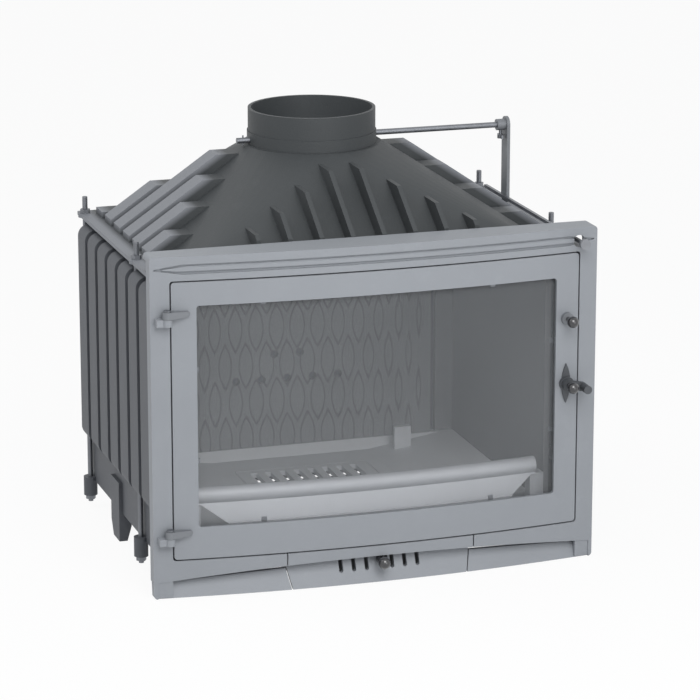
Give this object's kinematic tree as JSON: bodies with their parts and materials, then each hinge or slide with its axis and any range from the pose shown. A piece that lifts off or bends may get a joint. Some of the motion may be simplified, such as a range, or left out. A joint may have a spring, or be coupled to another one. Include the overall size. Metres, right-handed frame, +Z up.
{
  "type": "fireplace insert",
  "caption": "Cast-iron fireplace insert with a bowed front, hinged glazed door, ash drawer with sliding air register, ribbed smoke hood and flue damper worked by a rod.",
  "frame": {"origin": "centre of the whole part's box at the level of its feet", "axes": "+Z up along the flue, +X to the right as seen from the front, the glazed front faces -Y"},
  "size_m": [0.7, 0.56, 0.6675],
  "materials": {
    "facade_frame": "satin grey heat-proof paint on fine cast grain",
    "drawer_front": "satin grey heat-proof paint on fine cast grain",
    "door_frame": "satin grey heat-proof paint on fine cast grain",
    "hood": "dark graphite heat-proof paint on cast grain",
    "left_side_plate": "dark graphite heat-proof paint on cast grain",
    "right_side_plate": "dark graphite heat-proof paint on cast grain",
    "rear_plate": "dark graphite heat-proof paint on cast grain",
    "base_plate": "dark graphite heat-proof paint on cast grain",
    "feet": "dark graphite heat-proof paint on cast grain",
    "fireback": "bare grey cast iron, satin",
    "left_lining": "bare grey cast iron, satin",
    "right_lining": "bare grey cast iron, satin",
    "hearth": "bare grey cast iron, satin",
    "log_retainer": "bare grey cast iron, satin",
    "retainer_supports": "bare grey cast iron, satin",
    "grate": "bare grey cast iron, satin",
    "hinge_arms": "satin cast iron",
    "latch_plate": "satin cast iron",
    "latch_handle": "satin cast iron",
    "pull_base": "satin cast iron",
    "latch_catch": "satin cast iron",
    "damper_lever": "satin cast iron",
    "damper_plate": "satin cast iron",
    "ash_pan": "folded sheet steel, dark paint",
    "drawer_rails": "folded sheet steel, dark paint",
    "air_slider": "sheet steel, dark paint",
    "latch_ball": "glossy black",
    "pull_knob": "glossy black",
    "slider_knob": "glossy black",
    "hinge_pins": "plain turned steel",
    "tie_rods": "plain turned steel",
    "tie_nuts": "plain turned steel",
    "frame_bolts": "plain turned steel",
    "damper_shaft": "plain turned steel",
    "split_pin": "plain turned steel",
    "wing_bolt": "plain turned steel",
    "control_rod": "plain turned steel",
    "rod_pivot": "plain turned steel",
    "glass_clips": "plain turned steel",
    "clip_screws": "plain turned steel",
    "control_knob": "turned steel, satin",
    "door_glass": "clear ceramic glass",
    "glass_seal": "braided glass fibre",
    "door_seal": "braided glass fibre"
  },
  "bodies": {
    "casing": {"facade_frame": "facade_frame", "hinge_pins": "hinge_pins", "left_side_plate": "left_side_plate", "right_side_plate": "right_side_plate", "rear_plate": "rear_plate", "base_plate": "base_plate", "drawer_rails": "drawer_rails", "feet": "feet", "hood": "hood", "tie_rods": "tie_rods", "tie_nuts": "tie_nuts", "frame_bolts": "frame_bolts", "fireback": "fireback", "left_lining": "left_lining", "right_lining": "right_lining", "hearth": "hearth", "grate": "grate", "log_retainer": "log_retainer", "retainer_supports": "retainer_supports"},
    "door": {"door_frame": "door_frame", "door_glass": "door_glass", "glass_seal": "glass_seal", "door_seal": "door_seal", "glass_clips": "glass_clips", "clip_screws": "clip_screws", "hinge_arms": "hinge_arms", "latch_plate": "latch_plate", "pull_knob": "pull_knob", "pull_base": "pull_base"},
    "latch": {"latch_handle": "latch_handle", "latch_ball": "latch_ball", "latch_catch": "latch_catch"},
    "ash_drawer": {"drawer_front": "drawer_front", "ash_pan": "ash_pan"},
    "air_register": {"air_slider": "air_slider", "slider_knob": "slider_knob"},
    "damper": {"damper_shaft": "damper_shaft", "damper_plate": "damper_plate", "damper_lever": "damper_lever", "split_pin": "split_pin", "wing_bolt": "wing_bolt"},
    "control_rod": {"control_rod": "control_rod", "rod_pivot": "rod_pivot", "control_knob": "control_knob"}
  },
  "joints": [
    {"name": "door_hinge", "type": "hinge", "parent": "casing", "child": "door", "pos_m": [-0.327, -0.245, 0.27], "axis": [0, 0, -1], "range_deg": [0, 105]},
    {"name": "latch_turn", "type": "hinge", "parent": "door", "child": "latch", "pos_m": [0.2995, -0.257, 0.284], "axis": [0, 1, 0], "range_deg": [0, 90]},
    {"name": "drawer_slide", "type": "slide", "parent": "casing", "child": "ash_drawer", "axis": [0, -1, 0], "range_m": [0, 0.24]},
    {"name": "register_slide", "type": "slide", "parent": "ash_drawer", "child": "air_register", "axis": [1, 0, 0], "range_m": [0, 0.01]},
    {"name": "damper_turn", "type": "hinge", "parent": "casing", "child": "damper", "pos_m": [0, 0.103, 0.62], "axis": [-1, 0, 0], "range_deg": [0, 40]},
    {"name": "rod_swing", "type": "hinge", "parent": "damper", "child": "control_rod", "pos_m": [0.319, 0.103, 0.504], "axis": [1, 0, 0], "range_deg": [0, 45]}
  ],
  "couplings": [
    {"joint": "rod_swing", "follows": "damper_turn", "ratio": 1.12}
  ]
}
